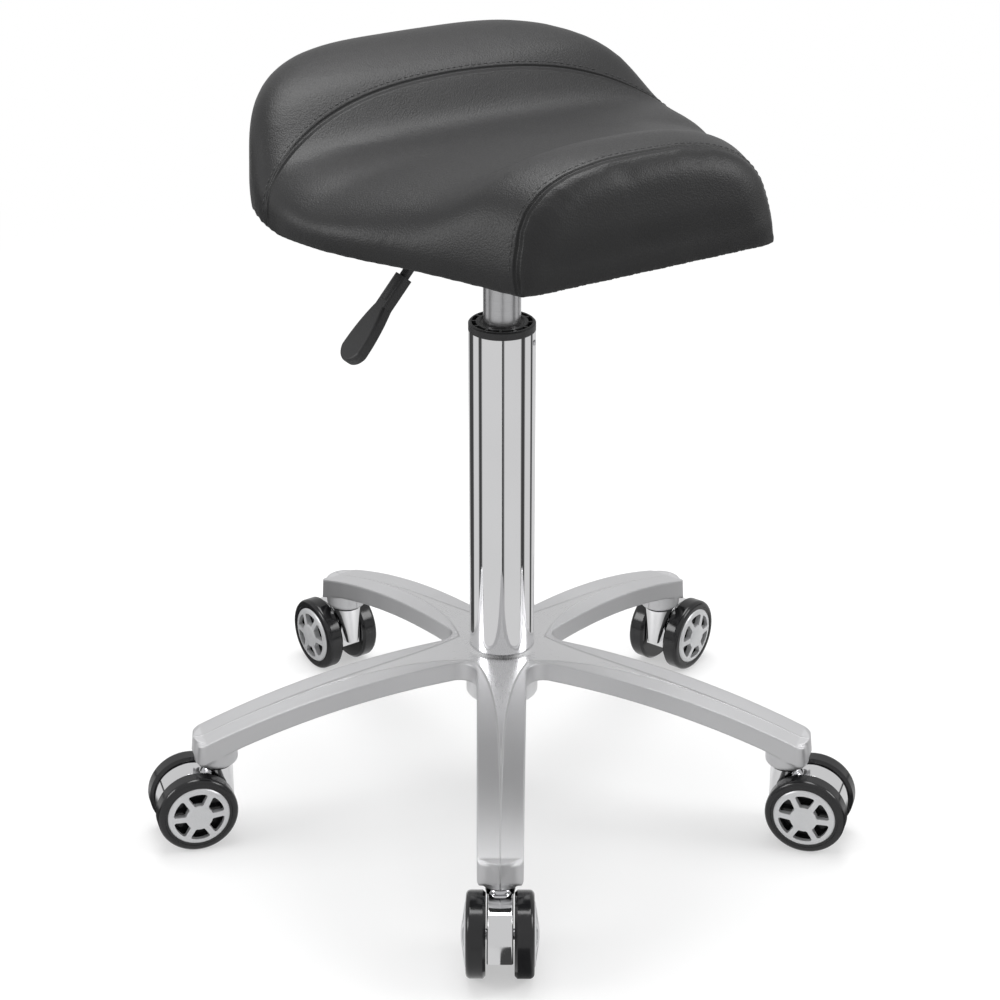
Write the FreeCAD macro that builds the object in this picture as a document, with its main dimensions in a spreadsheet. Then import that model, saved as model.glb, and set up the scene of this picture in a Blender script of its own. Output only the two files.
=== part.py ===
import FreeCAD, Part
import math
import os

import Sketcher
from FreeCAD import Placement, Rotation, Vector

# A saddle stool: a five-armed cast base on twin-wheel casters, a gas lift, and a padded saddle seat with a lever.
# Millimetres. +Z is up, the origin is on the floor under the column, and the front arm points to -Y.

doc = FreeCAD.newDocument("saddle_stool")
dim = doc.addObject("Spreadsheet::Sheet", "dim")

UP = Vector(0, 0, 1)


# The sheet of sizes

class Size:
    """A number from the sheet, or worked out from some, with the expression that gives it."""

    def __init__(self, number, text):
        self.number = number
        self.text = text

    def __float__(self):
        return self.number

    def __neg__(self):
        return 0 - self

    def __add__(self, other):
        return Size(self.number + float(other), "(%s + %s)" % (self.text, written(other)))

    def __radd__(self, other):
        return self + other

    def __sub__(self, other):
        return Size(self.number - float(other), "(%s - %s)" % (self.text, written(other)))

    def __rsub__(self, other):
        return Size(float(other) - self.number, "(%s - %s)" % (written(other), self.text))

    def __mul__(self, other):
        return Size(self.number * float(other), "%s * %s" % (self.text, written(other)))

    def __rmul__(self, other):
        return self * other

    def __truediv__(self, other):
        return Size(self.number / float(other), "%s / (%s)" % (self.text, written(other)))

    def __rtruediv__(self, other):
        return Size(float(other) / self.number, "%s / (%s)" % (written(other), self.text))


def written(value):
    """The expression text of a Size or of a plain number."""
    return value.text if isinstance(value, Size) else "%.6f" % value


def sine(degrees):
    return Size(math.sin(math.radians(float(degrees))), "sin(%s * 1deg)" % written(degrees))


def cosine(degrees):
    return Size(math.cos(math.radians(float(degrees))), "cos(%s * 1deg)" % written(degrees))


def root(value):
    return Size(math.sqrt(float(value)), "sqrt(%s)" % value.text)


def size(alias, number):
    """Write one driving dimension into the sheet."""
    row = size.rows = getattr(size, "rows", 0) + 1
    dim.set("A%d" % row, alias)
    dim.set("B%d" % row, str(number))
    dim.setAlias("B%d" % row, alias)
    dim.recompute()
    return Size(float(dim.get(alias)), "dim." + alias)


# Clearances
press_gap = size("press_gap", 0.03)
running_gap = size("running_gap", 0.06)
free_gap = size("free_gap", 0.4)

# Casters
wheel_radius = size("wheel_radius", 31.0)
wheel_width = size("wheel_width", 14.0)
wheel_spacing = size("wheel_spacing", 20.4)
tread_round = size("tread_round", 3.6)
cap_radius = size("cap_radius", 23.8)
cap_bulge = size("cap_bulge", 3.6)
cap_edge = size("cap_edge", 2.4)
cap_hub_radius = size("cap_hub_radius", 9.4)
cap_rim_width = size("cap_rim_width", 3.6)
spoke_width = size("spoke_width", 4.4)
spoke_count = size("spoke_count", 6)
wheel_dish = size("wheel_dish", 5.0)
axle_radius = size("axle_radius", 4.0)
caster_trail = size("caster_trail", 20.0)
hood_width = size("hood_width", 18.6)
hood_wall = size("hood_wall", 3.0)
fender_radius = size("fender_radius", 28.5)
hood_bottom = size("hood_bottom", 25.0)
hood_back = size("hood_back", 5.0)
neck_radius = size("neck_radius", 12.2)
neck_top = size("neck_top", 61.6)
neck_rim = size("neck_rim", 1.0)
tongue_radius = size("tongue_radius", 5.6)
tongue_bottom = size("tongue_bottom", 30.0)
stem_radius = size("stem_radius", 5.5)
stem_bottom = size("stem_bottom", 40.0)
washer_height = size("washer_height", 3.4)
socket_depth = size("socket_depth", 21.0)
grip_ring_height = size("grip_ring_height", 4.0)

# Five-armed base
arm_count = size("arm_count", 5)
stem_circle = size("stem_circle", 229.7)
arm_root_half = size("arm_root_half", 19.6)
arm_tip_half = size("arm_tip_half", 16.6)
arm_crest = size("arm_crest", 127.3)
arm_crest_at = size("arm_crest_at", 10.0)
arm_curve = size("arm_curve", 650.0)
arm_wall_height = size("arm_wall_height", 15.0)
arm_wall = size("arm_wall", 3.2)
crotch_radius = size("crotch_radius", 14.0)
tip_overhang = size("tip_overhang", 17.0)
tip_round = size("tip_round", 7.0)
boss_bottom = size("boss_bottom", 63.6)
hub_seam = size("hub_seam", 129.5)
hub_rim_radius = size("hub_rim_radius", 25.6)
hub_boss_radius = size("hub_boss_radius", 28.0)
hub_boss_bottom = size("hub_boss_bottom", 86.5)
rib_thickness = size("rib_thickness", 3.0)

# Gas lift
tube_radius = size("tube_radius", 25.0)
tube_wall = size("tube_wall", 1.8)
tube_top = size("tube_top", 390.0)
taper_top_radius = size("taper_top_radius", 24.6)
taper_foot_radius = size("taper_foot_radius", 23.6)
tube_floor = size("tube_floor", 3.0)
collar_height = size("collar_height", 6.0)
bush_length = size("bush_length", 100.0)
slot_count = size("slot_count", 12)
slot_inner_radius = size("slot_inner_radius", 19.4)
slot_outer_radius = size("slot_outer_radius", 22.6)
slot_depth = size("slot_depth", 12.0)
slot_rib = size("slot_rib", 1.6)
pin_turn = size("pin_turn", -18.0)
pin_radius = size("pin_radius", 2.2)
pin_drop = size("pin_drop", 8.0)
lift_radius = size("lift_radius", 14.0)
lift_wall = size("lift_wall", 1.6)
lift_bottom = size("lift_bottom", 148.0)
lift_top = size("lift_top", 470.0)
taper_length = size("taper_length", 34.0)
taper_tip_radius = size("taper_tip_radius", 13.2)
rod_radius = size("rod_radius", 5.0)
piston_level = size("piston_level", 338.0)
piston_height = size("piston_height", 14.0)
valve_radius = size("valve_radius", 4.0)
valve_height = size("valve_height", 7.0)
bearing_ball = size("bearing_ball", 2.0)
ball_count = size("ball_count", 8)
cage_gap = size("cage_gap", 0.15)

# Seat mechanism and lever
seat_turn = size("seat_turn", 32.0)
board_bottom = size("board_bottom", 494.0)
board_thickness = size("board_thickness", 12.0)
plate_side = size("plate_side", 160.0)
plate_thickness = size("plate_thickness", 2.5)
bolt_spacing = size("bolt_spacing", 125.0)
bolt_radius = size("bolt_radius", 3.0)
channel_width = size("channel_width", 56.0)
channel_length = size("channel_length", 84.0)
channel_depth = size("channel_depth", 30.0)
socket_wall = size("socket_wall", 4.0)
socket_drop = size("socket_drop", 12.0)
lever_pivot_at = size("lever_pivot_at", 25.0)
lever_rod_radius = size("lever_rod_radius", 3.8)
lever_bend_at = size("lever_bend_at", 45.0)
lever_bend_radius = size("lever_bend_radius", 14.0)
lever_slope = size("lever_slope", 49.0)
lever_reach = size("lever_reach", 56.0)
lever_pin_radius = size("lever_pin_radius", 2.0)
handle_length = size("handle_length", 76.0)
handle_width = size("handle_width", 25.0)
handle_neck = size("handle_neck", 13.0)
handle_thickness = size("handle_thickness", 9.0)

# Seat cushion, measured from the column: the front is -Y before the seat is turned
cover_cloth = size("cover_cloth", 1.0)
seat_half_width = size("seat_half_width", 188.0)
seat_rear_centre = size("seat_rear_centre", 14.0)
seat_front = size("seat_front", 198.0)
seat_front_half = size("seat_front_half", 100.0)
seat_side_height = size("seat_side_height", 22.0)
seat_draw_in = size("seat_draw_in", 7.0)
seat_roundness = size("seat_roundness", 2.65)
cantle_crest = size("cantle_crest", 84.0)
rear_seam_height = size("rear_seam_height", 70.0)
saddle_dip = size("saddle_dip", 54.0)
front_crest = size("front_crest", 76.0)
board_inset = size("board_inset", 16.0)


# Small helpers for the document's objects

def bind(thing, **values):
    """Set properties of an object, each Size as an expression on the sheet."""
    for name, value in values.items():
        if isinstance(value, Size):
            thing.setExpression(name, value.text)
        else:
            setattr(thing, name, value)
    return thing


def put(thing, x=0.0, y=0.0, z=0.0, turn=None, about=UP):
    """Place an object, its three coordinates and its turn tied to the sheet."""
    angle = 0.0 if turn is None else float(turn)
    thing.Placement = Placement(Vector(float(x), float(y), float(z)), Rotation(about, angle))
    for axis, value in zip("xyz", (x, y, z)):
        if isinstance(value, Size):
            thing.setExpression("Placement.Base." + axis, value.text)
    if isinstance(turn, Size):
        thing.setExpression("Placement.Rotation.Angle", turn.text)
    return thing


def cylinder(name, radius, height, **place):
    return put(bind(doc.addObject("Part::Cylinder", name), Radius=radius, Height=height), **place)


def cone(name, bottom, top, height, **place):
    thing = doc.addObject("Part::Cone", name)
    return put(bind(thing, Radius1=bottom, Radius2=top, Height=height), **place)


def block(name, length, width, height, **place):
    """A box centred on its own X and Y."""
    thing = doc.addObject("Part::Box", name)
    bind(thing, Length=length, Width=width, Height=height)
    x = place.pop("x", 0.0) - length / 2
    y = place.pop("y", 0.0) - width / 2
    return put(thing, x=x, y=y, **place)


def fuse(name, *pieces):
    thing = doc.addObject("Part::MultiFuse", name)
    thing.Shapes = list(pieces)
    thing.Refine = True
    return thing


def cut(name, base, *tools):
    thing = doc.addObject("Part::Cut", name)
    thing.Base = base
    thing.Tool = tools[0] if len(tools) == 1 else fuse(name + "_tools", *tools)
    thing.Refine = True
    return thing


def new_body(name):
    return doc.addObject("PartDesign::Body", name)


def origin_part(body, role):
    return [part for part in body.Origin.OriginFeatures if part.Role == role][0]


def sketch(body, name, plane, lift=None):
    """A sketch on one of the body's origin planes, lifted off it along its normal."""
    drawing = body.newObject("Sketcher::SketchObject", name)
    drawing.AttachmentSupport = [(origin_part(body, plane), "")]
    drawing.MapMode = "FlatFace"
    if lift is not None:
        drawing.AttachmentOffset = Placement(Vector(0, 0, float(lift)), Rotation())
        drawing.setExpression("AttachmentOffset.Base.z", written(lift))
    return drawing


def hold(drawing, kind, *args):
    """Add a sketch constraint whose value is tied to the sheet."""
    value = args[-1]
    index = drawing.addConstraint(Sketcher.Constraint(kind, *args[:-1], float(value)))
    if isinstance(value, Size):
        drawing.setExpression("Constraints[%d]" % index, value.text)


def hold_point(drawing, geometry, end, x, y):
    """Pin one end of a line or arc, or a circle's centre, to its coordinates."""
    for kind, axis, value in (("DistanceX", -2, x), ("DistanceY", -1, y)):
        if float(value) == 0.0:
            drawing.addConstraint(Sketcher.Constraint("PointOnObject", geometry, end, axis))
        else:
            hold(drawing, kind, -1, 1, geometry, end, value)


def arc_centre(start, end, radius):
    """Centre of the shorter arc from start to end; a positive radius turns anticlockwise."""
    chord = end - start
    half = chord.Length / 2
    rise = math.sqrt(max(radius * radius - half * half, 0.0))
    side = Vector(-chord.y, chord.x, 0).normalize()
    return (start + end) * 0.5 + side * (rise if radius > 0 else -rise)


def outline(drawing, points):
    """Draw a closed chain of corners; a third value makes the way to the next corner an arc of that radius."""
    first = drawing.GeometryCount
    ends = []
    for index, point in enumerate(points):
        follow = points[(index + 1) % len(points)]
        start = Vector(float(point[0]), float(point[1]), 0)
        end = Vector(float(follow[0]), float(follow[1]), 0)
        if len(point) < 3:
            drawing.addGeometry(Part.LineSegment(start, end), False)
            ends.append((1, 2))
            continue
        radius = float(point[2])
        centre = arc_centre(start, end, radius)
        a = math.atan2(start.y - centre.y, start.x - centre.x)
        b = math.atan2(end.y - centre.y, end.x - centre.x)
        circle = Part.Circle(centre, UP, abs(radius))
        if radius > 0:
            drawing.addGeometry(Part.ArcOfCircle(circle, a, b), False)
            ends.append((1, 2))
        else:
            drawing.addGeometry(Part.ArcOfCircle(circle, b, a), False)
            ends.append((2, 1))
    for index, point in enumerate(points):
        after = (index + 1) % len(points)
        drawing.addConstraint(
            Sketcher.Constraint("Coincident", first + index, ends[index][1], first + after, ends[after][0]))
        hold_point(drawing, first + index, ends[index][0], point[0], point[1])
        if len(point) > 2:
            radius = point[2]
            hold(drawing, "Radius", first + index, radius if float(radius) > 0 else -radius)
    return drawing


def ring(drawing, radius, x=0.0, y=0.0):
    """Draw a full circle."""
    index = drawing.addGeometry(Part.Circle(Vector(float(x), float(y), 0), UP, float(radius)), False)
    hold_point(drawing, index, 3, x, y)
    hold(drawing, "Radius", index, radius)
    return drawing


def feature(body, kind, name, profile, **values):
    """A PartDesign feature made from a sketch."""
    thing = body.newObject("PartDesign::" + kind, name)
    thing.Profile = profile
    bind(thing, **values)
    profile.Visibility = False
    return thing


def spun(body, kind, name, profile):
    """A full Revolution or Groove about the sketch's vertical axis."""
    return feature(body, kind, name, profile, ReferenceAxis=(profile, ["V_Axis"]), Angle=360.0)


def both_ways(body, kind, name, profile, length):
    """A Pad or Pocket grown evenly to both sides of its sketch."""
    return feature(body, kind, name, profile, SideType="Symmetric", Length=length)


def round_pattern(body, name, originals, count, axis="Z_Axis"):
    """Repeat features around one of the body's axes."""
    pattern = body.newObject("PartDesign::PolarPattern", name)
    pattern.Originals = originals
    pattern.Axis = (origin_part(body, axis), [""])
    pattern.Angle = 360.0
    bind(pattern, Occurrences=count)
    body.Tip = pattern
    return pattern


def fillet(body, name, base, radius, wanted):
    """Round the edges of a feature for which wanted(edge) is true."""
    doc.recompute()
    edges = ["Edge%d" % (i + 1) for i, edge in enumerate(base.Shape.Edges) if wanted(edge)]
    thing = body.newObject("PartDesign::Fillet", name)
    thing.Base = (base, edges)
    bind(thing, Radius=radius)
    body.Tip = thing
    return thing


def middle(edge):
    low, high = edge.ParameterRange
    return edge.valueAt((low + high) / 2)


nodes = []


def node(thing, label):
    """Name a finished sub-part; its label is its file's name."""
    thing.Label = label
    nodes.append(thing)
    return thing


# The cast base

def arm_top(radius):
    """Height of an arm's top line at a distance from the column."""
    away = radius - arm_crest_at
    return arm_crest - away * away / (arm_curve * 2)


def arm_half(radius):
    """Half the width of an arm at a distance from the column."""
    return arm_root_half - (arm_root_half - arm_tip_half) / stem_circle * radius


def star_profile(body):
    """Section of the arms through the column: one long arc on top, a parallel one below, a drafted end."""
    tip = stem_circle + tip_overhang
    lip = stem_circle - arm_tip_half
    inner = hub_rim_radius - 6.0
    return outline(sketch(body, "star_section", "XZ_Plane"), [
        (inner, arm_top(inner) - arm_wall_height, -(arm_curve - arm_wall_height)),
        (lip, arm_top(lip) - arm_wall_height),
        (tip - 2.0, boss_bottom + 4.5),
        (tip, boss_bottom + 7.0),
        (tip - 1.5, arm_top(tip - 1.5), arm_curve),
        (inner, arm_top(inner)),
    ])


def gap_outline(body):
    """Plan of the space between the two rear arms: both flanks and the round corner between them."""
    half = 180.0 / arm_count
    start = arm_root_half * cosine(half) / sine(half) + crotch_radius * cosine(half) / sine(half)
    reach = stem_circle * 1.5

    def flank(radius, sign):
        width = arm_half(radius)
        across = radius * sine(half) - width * cosine(half)
        along = radius * cosine(half) + width * sine(half)
        return across * sign, along

    left = flank(start, -1)
    return outline(sketch(body, "gap_plan", "XY_Plane", boss_bottom - 20.0), [
        flank(start, 1),
        flank(reach, 1),
        flank(reach, -1),
        (left[0], left[1], crotch_radius),
    ])


def core_section(body, name, radius):
    """Section of the hollow under the front arm."""
    half = arm_half(radius) - arm_wall
    ceiling = arm_top(radius) - arm_wall
    mouth = arm_top(radius) - arm_wall_height - 3.0
    drawing = sketch(body, name, "XZ_Plane", radius)
    return outline(drawing, [(-half, mouth), (half, mouth), (half - 0.8, ceiling), (0.8 - half, ceiling)])


def build_base():
    body = new_body("base_casting_body")
    spun(body, "Revolution", "star_disc", star_profile(body))
    gap = feature(body, "Pocket", "arm_gap", gap_outline(body), Length=120.0, Reversed=True)
    gaps = round_pattern(body, "arm_gaps", [gap], arm_count)
    tip = float(stem_circle + tip_overhang)

    def tip_corner(edge):
        point = middle(edge)
        ends = [vertex.Point for vertex in edge.Vertexes]
        return (len(ends) == 2 and math.hypot(point.x, point.y) > tip - 6
                and abs(ends[0].z - ends[1].z) > 6 and edge.Length < 40)

    fillet(body, "tip_corners", gaps, tip_round, tip_corner)

    # The central hub: a boss below, a low cone above that meets the tube at the seam
    inner = hub_rim_radius - 6.0
    flare = hub_rim_radius + 8.0
    hub = outline(sketch(body, "hub_section", "XZ_Plane"), [
        (inner, hub_boss_bottom),
        (hub_boss_radius - 1.5, hub_boss_bottom, 1.5),
        (hub_boss_radius, hub_boss_bottom + 1.5),
        (hub_boss_radius, arm_crest - 5.0),
        (flare, arm_crest - 5.0),
        (flare, arm_top(flare) - 0.2, -8.0),
        (hub_rim_radius, hub_seam - 0.6),
        (hub_rim_radius - 0.4, hub_seam),
        (inner, hub_seam),
    ])
    spun(body, "Revolution", "hub", hub)

    # Caster sockets in round bosses under the tips
    boss = feature(body, "Pad", "stem_boss", ring(
        sketch(body, "boss_plan", "XY_Plane", boss_bottom), arm_tip_half, 0.0, -stem_circle),
        Length=arm_top(stem_circle) - arm_wall - boss_bottom)
    bosses = round_pattern(body, "stem_bosses", [boss], arm_count)

    def boss_edge(edge):
        point = middle(edge)
        return abs(point.z - float(boss_bottom)) < 0.01 and math.hypot(point.x, point.y) > 100
    fillet(body, "boss_edges", bosses, 3.6, boss_edge)

    # Hollow undersides, cast with cross ribs between the cores
    ends = [hub_boss_radius + 14.0, stem_circle * 0.44, stem_circle * 0.7, stem_circle - arm_tip_half - 1.0]
    cores = []
    for index in range(3):
        near = core_section(body, "core_near_%d" % index, ends[index] + rib_thickness / 2)
        far = core_section(body, "core_far_%d" % index, ends[index + 1] - rib_thickness / 2)
        core = feature(body, "SubtractiveLoft", "core_%d" % index, near, Sections=[far])
        far.Visibility = False
        cores.append(core)
    round_pattern(body, "arm_cores", cores, arm_count)

    socket = feature(body, "Pocket", "stem_socket", ring(
        sketch(body, "socket_plan", "XY_Plane", boss_bottom), stem_radius + press_gap, 0.0, -stem_circle),
        Length=socket_depth, Reversed=True)
    round_pattern(body, "stem_sockets", [socket], arm_count)

    bore = outline(sketch(body, "bore_section", "XZ_Plane"), [
        (0.0, hub_boss_bottom - 1.0),
        (taper_foot_radius + press_gap, hub_boss_bottom - 1.0),
        (taper_foot_radius + press_gap, hub_boss_bottom),
        (taper_top_radius + press_gap, hub_seam),
        (taper_top_radius + press_gap, hub_seam + 1.0),
        (0.0, hub_seam + 1.0),
    ])
    spun(body, "Groove", "tube_bore", bore)
    return node(body, "base_casting")


# Caster hardware that stays with the base

def around(count):
    """Places of the casters: the turn of each arm about the column, the front one first."""
    return [360.0 / int(float(count)) * index for index in range(int(float(count)))]


def copies(name, master, turns, x=0.0, y=0.0, z=0.0):
    """One group of separate solids: a master solid repeated at several turns about the column."""
    master_shape = master.Shape.copy()
    solids = []
    for turn in turns:
        solid = master_shape.copy()
        solid.translate(Vector(float(x), float(y), float(z)))
        solid.rotate(Vector(), UP, turn)
        solids.append(solid)
    group = doc.addObject("Part::Feature", name)
    group.Shape = Part.makeCompound(solids)
    master.Visibility = False
    return group


stem_top = boss_bottom + socket_depth - 1.0
ring_groove = 0.5


def build_stems():
    """Steel stems pressed into the arms, their grip rings, and the black washers they carry."""
    turns = around(arm_count)
    groove_z = stem_top - grip_ring_height * 2
    shaft = cylinder("stem_shaft", stem_radius, stem_top - stem_bottom, z=stem_bottom)
    groove_outer = cylinder("groove_outer", stem_radius + 1.0, grip_ring_height + 0.4, z=groove_z - 0.2)
    groove_inner = cylinder("groove_inner", stem_radius - ring_groove, grip_ring_height + 1.0, z=groove_z - 0.5)
    stem = cut("stem_blank", shaft, cut("stem_groove", groove_outer, groove_inner))
    rim = bind(doc.addObject("Part::Chamfer", "stem"), Base=stem)
    doc.recompute()
    ends = [i + 1 for i, edge in enumerate(stem.Shape.Edges)
            if edge.Closed and edge.BoundBox.ZLength < 0.01
            and abs(edge.Vertexes[0].Z - float(stem_top)) < 0.01]
    rim.Edges = [(i, 0.8, 0.8) for i in ends]
    outer = cylinder("ring_outer", stem_radius, grip_ring_height, z=groove_z)
    inner = cylinder("ring_inner", stem_radius - ring_groove + press_gap, grip_ring_height + 1.0, z=groove_z - 0.5)
    split = block("ring_split", 12.0, 1.5, grip_ring_height + 1.0, x=6.0, z=groove_z - 0.5)
    grip = cut("grip_ring", outer, inner, split)
    floor = boss_bottom - washer_height
    washer = cone("washer_cone", neck_radius - neck_rim - free_gap, neck_radius - neck_rim - free_gap - 0.6,
                  washer_height, z=floor)
    washer_seat = cut("washer", washer, cylinder("washer_hole", stem_radius + press_gap, washer_height + 1.0,
                                                 z=floor - 0.5))
    doc.recompute()
    node(copies("caster_stem_group", rim, turns, y=-stem_circle), "caster_stems")
    node(copies("grip_ring_group", grip, turns, y=-stem_circle), "stem_grip_rings")
    node(copies("washer_group", washer_seat, turns, y=-stem_circle), "stem_washers")


# One caster, drawn with its stem on the origin's Z axis and the wheels trailing towards +X

def caster_place(turn):
    """Where a caster stands: on the stem circle, trailing away from the column."""
    return Placement(Vector(), Rotation(UP, turn - 90)) * Placement(Vector(float(stem_circle), 0, 0), Rotation())


def build_hood(name, turn):
    body = new_body(name + "_body")
    half_chord = caster_trail + hood_back
    rise = root(fender_radius * fender_radius - half_chord * half_chord)
    drop = wheel_radius - hood_bottom
    reach = root(fender_radius * fender_radius - drop * drop)
    side = outline(sketch(body, name + "_side", "XZ_Plane"), [
        (-hood_back, hood_bottom),
        (caster_trail + reach, hood_bottom, fender_radius),
        (caster_trail, wheel_radius + fender_radius, fender_radius),
        (-hood_back, wheel_radius + rise),
    ])
    web = both_ways(body, "Pad", name + "_web", side, hood_width)

    def fender_edge(edge):
        point = middle(edge)
        away = math.hypot(point.x - float(caster_trail), point.z - float(wheel_radius))
        return abs(abs(point.y) - float(hood_width) / 2) < 0.01 and abs(away - float(fender_radius)) < 0.05
    fillet(body, name + "_fender_edges", web, 1.6, fender_edge)

    top = ring(sketch(body, name + "_neck_top", "XY_Plane", neck_top), neck_radius)
    foot = ring(sketch(body, name + "_neck_foot", "XY_Plane", tongue_bottom), tongue_radius,
                tongue_radius - neck_radius, 0.0)
    feature(body, "AdditiveLoft", name + "_neck", foot, Sections=[top])
    top.Visibility = False

    cavity_radius = fender_radius - hood_wall
    cavity_reach = caster_trail + cavity_radius * 0.96
    cavity_z = wheel_radius + cavity_radius * 0.28
    inside = outline(sketch(body, name + "_inside", "XZ_Plane"), [
        (hood_back + 3.0, hood_bottom - 2.0),
        (cavity_reach, hood_bottom - 2.0),
        (cavity_reach, cavity_z, cavity_radius),
        (caster_trail, wheel_radius + cavity_radius),
        (hood_back + 3.0, wheel_radius + cavity_radius - 4.0),
    ])
    cavity = both_ways(body, "Pocket", name + "_cavity", inside, hood_width - hood_wall * 2)
    boss = ring(sketch(body, name + "_boss_plan", "XZ_Plane"), axle_radius + 3.2, caster_trail, wheel_radius)
    both_ways(body, "Pad", name + "_axle_boss", boss, hood_width - hood_wall)
    bore = ring(sketch(body, name + "_axle_plan", "XZ_Plane"), axle_radius + press_gap, caster_trail, wheel_radius)
    both_ways(body, "Pocket", name + "_axle_bore", bore, hood_width + 20.0)
    cup = outline(sketch(body, name + "_cup", "XZ_Plane"), [
        (0.0, stem_bottom - free_gap),
        (stem_radius + running_gap, stem_bottom - free_gap),
        (stem_radius + running_gap, boss_bottom - washer_height - free_gap),
        (neck_radius - neck_rim, boss_bottom - washer_height - free_gap),
        (neck_radius - neck_rim, neck_top + 1.0),
        (0.0, neck_top + 1.0),
    ])
    spun(body, "Groove", name + "_stem_bore", cup)
    body.Placement = caster_place(turn)
    return node(body, name)


def wheel_place(turn, side):
    """A wheel is drawn with its axle on Z, outer face up, and laid on its side in the caster."""
    lay = Placement(Vector(float(caster_trail), 0, float(wheel_radius)), Rotation(Vector(1, 0, 0), 90.0 * side))
    return caster_place(turn) * lay


def build_wheel(name, turn, side):
    """Wheel and tread in one moulding, with a dish for the cap."""
    body = new_body(name + "_body")
    inner = wheel_spacing / 2
    outer = inner + wheel_width
    seat = outer - cap_edge
    dish = seat - wheel_dish
    hole = axle_radius + running_gap
    rim = cap_radius - cap_rim_width
    half = outline(sketch(body, name + "_section", "XZ_Plane"), [
        (hole, inner),
        (wheel_radius - tread_round + 1.6, inner),
        (wheel_radius, inner + tread_round - 1.6),
        (wheel_radius, outer - tread_round, tread_round),
        (wheel_radius - tread_round, outer),
        (cap_radius + 2.4, outer),
        (cap_radius + 2.0, outer - 0.6),
        (cap_radius + press_gap, outer - 0.6),
        (cap_radius + press_gap, seat),
        (rim, seat),
        (rim - 1.4, dish),
        (cap_hub_radius, dish),
        (cap_hub_radius - 1.0, seat),
        (hole, seat),
    ])
    spun(body, "Revolution", name + "_moulding", half)
    body.Placement = wheel_place(turn, side)
    return node(body, name)


def build_cap(name, turn, side):
    """Six-spoke cap: a domed disc with rounded windows between its spokes."""
    body = new_body(name + "_body")
    back = wheel_spacing / 2 + wheel_width - cap_edge
    face = back + cap_edge
    window_out = cap_radius - cap_rim_width
    window_in = cap_hub_radius + 0.6
    boss = cap_hub_radius - 0.6
    rise = 0.8
    section = outline(sketch(body, name + "_section", "XZ_Plane"), [
        (0.0, back),
        (cap_radius, back),
        (cap_radius, face - 0.4),
        (cap_radius - 0.8, face + 0.4),
        (window_out + 0.8, face + 1.0),
        (window_in, face + cap_bulge - 1.2),
        (boss, face + cap_bulge - rise, (boss * boss + rise * rise) / (2 * rise)),
        (0.0, face + cap_bulge),
    ])
    spun(body, "Revolution", name + "_disc", section)
    half = 180.0 / spoke_count

    def corner(radius, sign):
        """On the flank of a spoke, at a height along the window's middle line."""
        across = radius * sine(half) - spoke_width / 2 * cosine(half)
        along = radius * cosine(half) + spoke_width / 2 * sine(half)
        return across * sign, along
    right = corner(window_out - 0.6, 1)
    low_left = corner(window_in, -1)
    window = outline(sketch(body, name + "_window", "XY_Plane", back - 1.0), [
        corner(window_in, 1),
        (right[0], right[1], window_out),
        corner(window_out - 0.6, -1),
        (low_left[0], low_left[1], -window_in),
    ])
    opening = feature(body, "Pocket", name + "_opening", window, Length=cap_bulge * 4, Reversed=True)
    windows = round_pattern(body, name + "_openings", [opening], spoke_count)

    def upright(edge):
        a, b = edge.Vertexes[0].Point, edge.Vertexes[-1].Point
        return math.hypot(a.x - b.x, a.y - b.y) < 0.01 and abs(a.z - b.z) > 1.0 and edge.Length < 12
    fillet(body, name + "_corners", windows, 1.6, upright)
    body.Placement = wheel_place(turn, side)
    return node(body, name)


def build_caster(index, turn):
    name = "caster_%d" % index
    build_hood(name + "_hood", turn)
    length = wheel_spacing + (wheel_width - cap_edge) * 2 - 1.0
    axle = cylinder(name + "_axle_rod", axle_radius, length)
    lay = Placement(Vector(float(caster_trail), float(length) / 2, float(wheel_radius)), Rotation(Vector(1, 0, 0), 90))
    axle.Placement = caster_place(turn) * lay
    node(axle, name + "_axle")
    for side, word in ((1, "left"), (-1, "right")):
        build_wheel("%s_wheel_%s" % (name, word), turn, side)
        build_cap("%s_cap_%s" % (name, word), turn, side)


# The gas lift

tube_foot = hub_boss_bottom + 1.0


def build_tube():
    """Chromed outer tube, tapered where it sits in the hub, closed below by a floor with a hole for the rod."""
    body = new_body("column_tube_body")
    inner_foot = taper_foot_radius - tube_wall
    section = outline(sketch(body, "tube_section", "XZ_Plane"), [
        (rod_radius + 1.0, tube_foot),
        (taper_foot_radius, tube_foot),
        (taper_top_radius, hub_seam),
        (tube_radius, hub_seam + 0.4),
        (tube_radius, tube_top),
        (tube_radius - tube_wall, tube_top),
        (tube_radius - tube_wall, hub_seam + 10.0),
        (inner_foot, hub_seam),
        (inner_foot, tube_foot + tube_floor),
        (rod_radius + 1.0, tube_foot + tube_floor),
    ])
    spun(body, "Revolution", "tube_wall_solid", section)
    for index, turn in enumerate((0.0, 180.0)):
        hole = ring(sketch(body, "pin_hole_%d" % index, "YZ_Plane"), pin_radius + press_gap, 0.0,
                    tube_top - pin_drop)
        feature(body, "Pocket", "pin_bore_%d" % index, hole, Length=40.0, Reversed=index == 1)
    put(body, turn=pin_turn)
    return node(body, "column_tube")


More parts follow.
